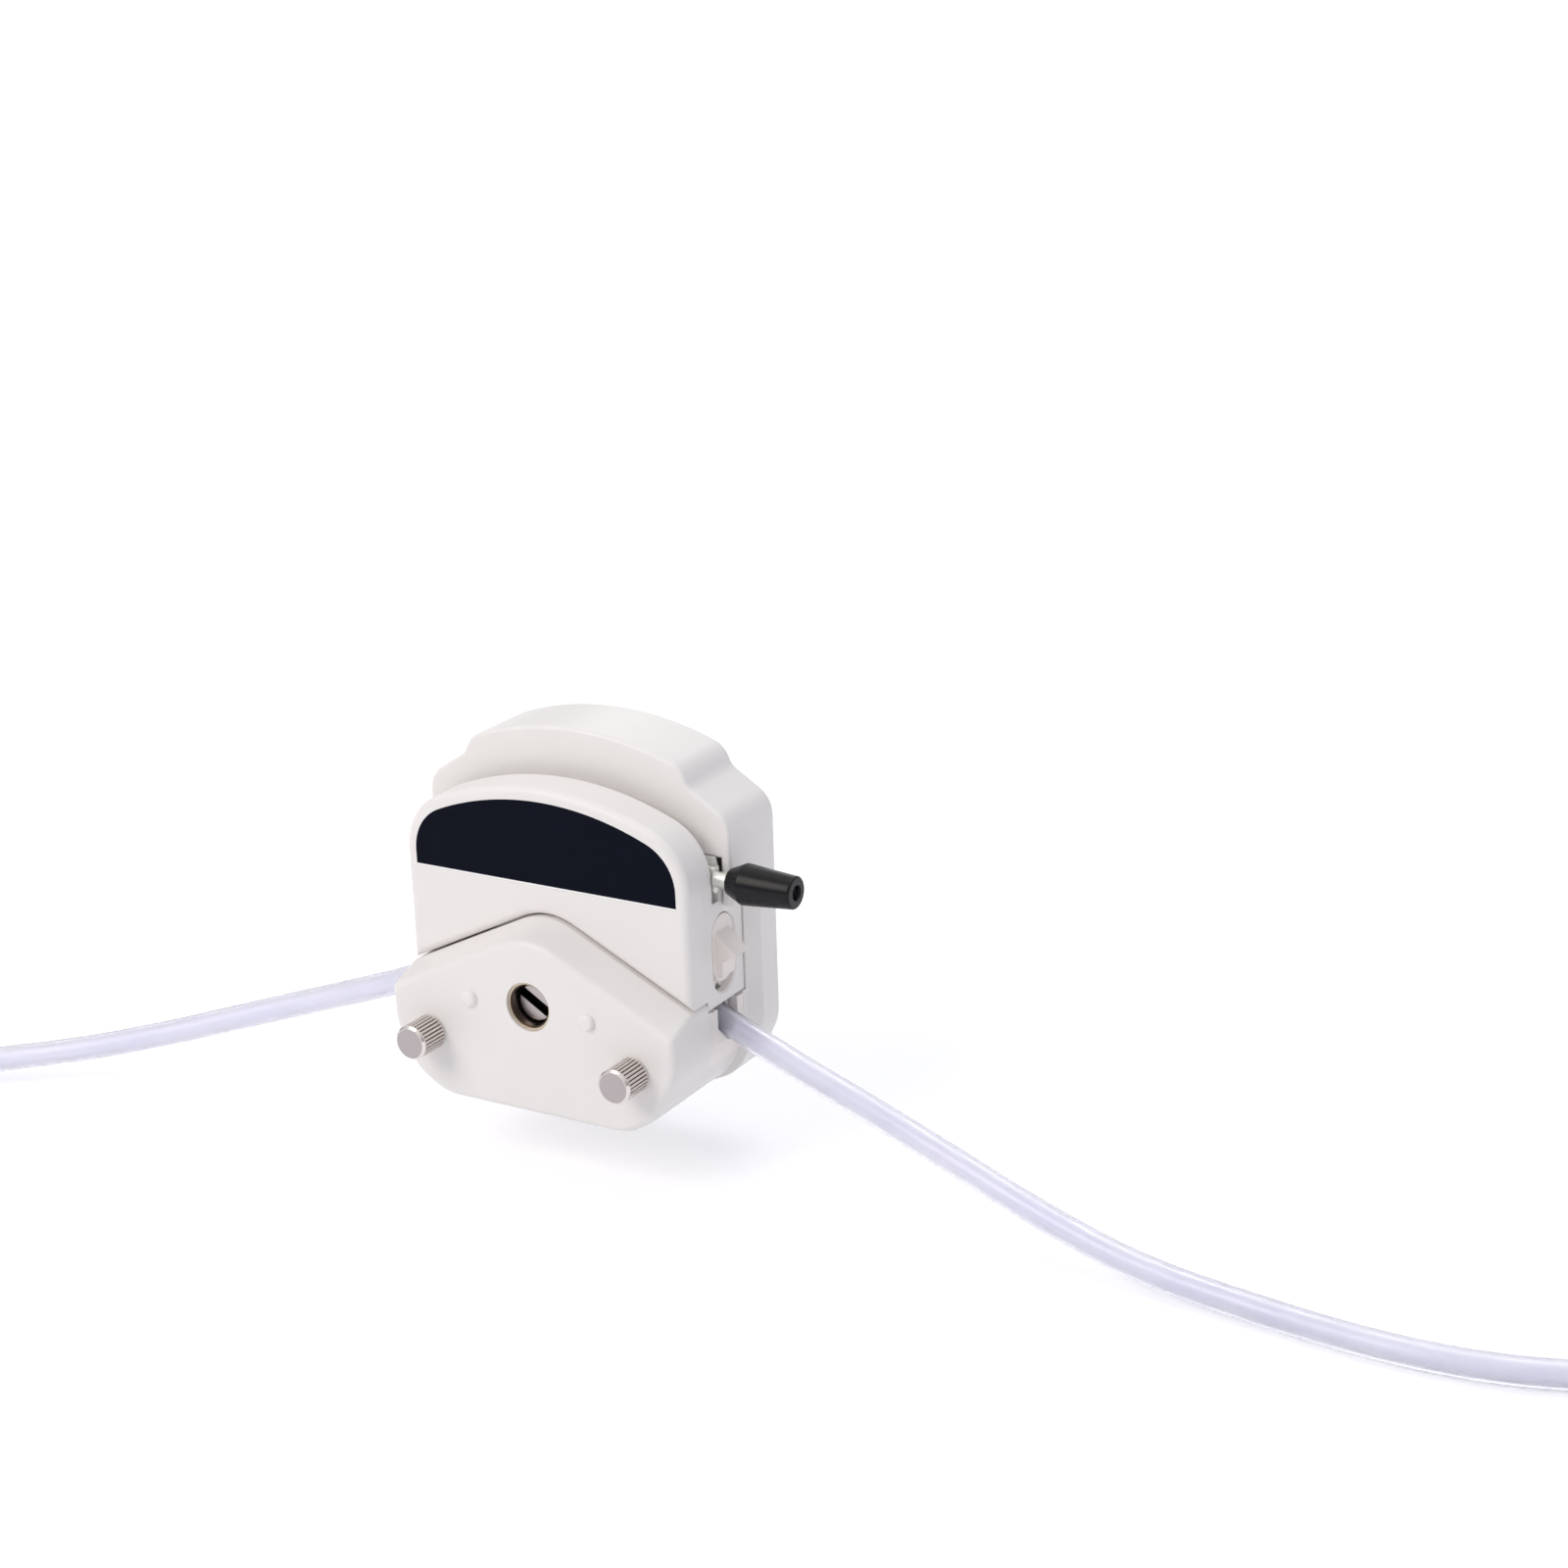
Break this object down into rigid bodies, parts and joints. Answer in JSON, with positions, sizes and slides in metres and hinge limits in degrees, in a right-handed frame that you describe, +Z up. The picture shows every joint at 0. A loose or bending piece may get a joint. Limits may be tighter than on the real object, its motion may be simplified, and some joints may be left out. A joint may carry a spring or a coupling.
{
  "type": "peristaltic pump head",
  "caption": "Roller pump head: a rotor rolls soft tube against an arched block, and a side lever turns a cam that lifts the block off the tube.",
  "frame": {"origin": "rotor axis on the flat rear face that seats on the drive", "axes": "+Y along the rotor axis, back into the drive; +Z up, the way the block lifts; +X to the right as seen from the front, the way the lever points at rest"},
  "size_m": [0.5596, 0.1005, 0.1329],
  "materials": {
    "ivory_housing": "fine satin moulding texture",
    "ivory_small": "satin moulding",
    "dark_label": "smooth printed film, thin white lower edge",
    "black_grip": "satin",
    "silicone_tube": "milky translucent, smooth",
    "steel": "turned and ground",
    "satin_steel": "satin",
    "polished_steel": "ground",
    "spring_steel": "rolled",
    "screw_steel": "cold formed, plain",
    "nickel": "satin nickel, bright knurl",
    "bronze": "sintered",
    "acetal": "satin",
    "black_rubber": "matte"
  },
  "bodies": {
    "housing": {"rear_housing": "ivory_housing", "front_plate": "ivory_housing", "cam_yoke": "steel", "guide_rods": "polished_steel", "rear_bearing": "polished_steel", "front_bearing": "polished_steel", "shaft_seal": "black_rubber", "front_bush": "bronze", "front_lip_ring": "black_rubber", "lower_jaw_left": "ivory_small", "lower_jaw_right": "ivory_small", "jaw_pins": "polished_steel", "housing_screws": "screw_steel", "yoke_screws": "screw_steel", "tube_in_head": "silicone_tube", "tube_left": "silicone_tube", "tube_right": "silicone_tube"},
    "top_block": {"track_block": "ivory_housing", "top_cover": "ivory_housing", "label_plate": "dark_label", "lever_bush": "bronze", "cover_screws": "screw_steel", "retainer_spring_left": "spring_steel", "retainer_spring_right": "spring_steel"},
    "lever": {"lever_arm": "satin_steel", "lever_grip": "black_grip", "lever_shaft": "steel", "lever_cam": "acetal", "cam_screw": "screw_steel"},
    "rotor": {"rotor_shaft": "steel", "rotor_disc_front": "steel", "rotor_disc_rear": "steel", "rotor_keys": "steel", "roller_pins": "polished_steel"},
    "retainer_left": {"retainer_left": "ivory_small"},
    "retainer_right": {"retainer_right": "ivory_small"},
    "thumbscrew_left": {"thumbscrew_left": "nickel", "thumb_clip_left": "screw_steel"},
    "thumbscrew_right": {"thumbscrew_right": "nickel", "thumb_clip_right": "screw_steel"},
    "roller_1": {"roller_1": "polished_steel", "roller_bushes_1": "bronze"},
    "roller_2": {"roller_2": "polished_steel", "roller_bushes_2": "bronze"},
    "roller_3": {"roller_3": "polished_steel", "roller_bushes_3": "bronze"}
  },
  "joints": [
    {"name": "block_lift", "type": "slide", "parent": "housing", "child": "top_block", "axis": [0, 0, 1], "range_m": [0, 0.008]},
    {"name": "lever_swing", "type": "hinge", "parent": "top_block", "child": "lever", "pos_m": [0, -0.0275, 0.0394], "axis": [0, -1, 0], "range_deg": [0, 180]},
    {"name": "rotor_spin", "type": "hinge", "parent": "housing", "child": "rotor", "pos_m": [0, -0.024, 0], "axis": [0, -1, 0], "continuous": true, "deforming": ["tube_in_head"]},
    {"name": "retainer_left_slide", "type": "slide", "parent": "top_block", "child": "retainer_left", "axis": [0, 0, 1], "range_m": [-0.003, 0]},
    {"name": "retainer_right_slide", "type": "slide", "parent": "top_block", "child": "retainer_right", "axis": [0, 0, 1], "range_m": [-0.003, 0]},
    {"name": "thumbscrew_left_turn", "type": "hinge", "parent": "housing", "child": "thumbscrew_left", "pos_m": [-0.0364, -0.05, -0.0144], "axis": [0, -1, 0], "continuous": true},
    {"name": "thumbscrew_right_turn", "type": "hinge", "parent": "housing", "child": "thumbscrew_right", "pos_m": [0.0364, -0.05, -0.0144], "axis": [0, -1, 0], "continuous": true},
    {"name": "roller_1_spin", "type": "hinge", "parent": "rotor", "child": "roller_1", "pos_m": [0, -0.0243, 0.019], "axis": [0, -1, 0], "continuous": true},
    {"name": "roller_2_spin", "type": "hinge", "parent": "rotor", "child": "roller_2", "pos_m": [0.01645, -0.0243, -0.0095], "axis": [0, -1, 0], "continuous": true},
    {"name": "roller_3_spin", "type": "hinge", "parent": "rotor", "child": "roller_3", "pos_m": [-0.01645, -0.0243, -0.0095], "axis": [0, -1, 0], "continuous": true}
  ],
  "couplings": [
    {"joint": "block_lift", "follows": "lever_swing", "m_per_rad": 0.0025464},
    {"joint": "roller_1_spin", "follows": "rotor_spin", "ratio": -3.6207},
    {"joint": "roller_2_spin", "follows": "rotor_spin", "ratio": -3.6207},
    {"joint": "roller_3_spin", "follows": "rotor_spin", "ratio": -3.6207}
  ]
}
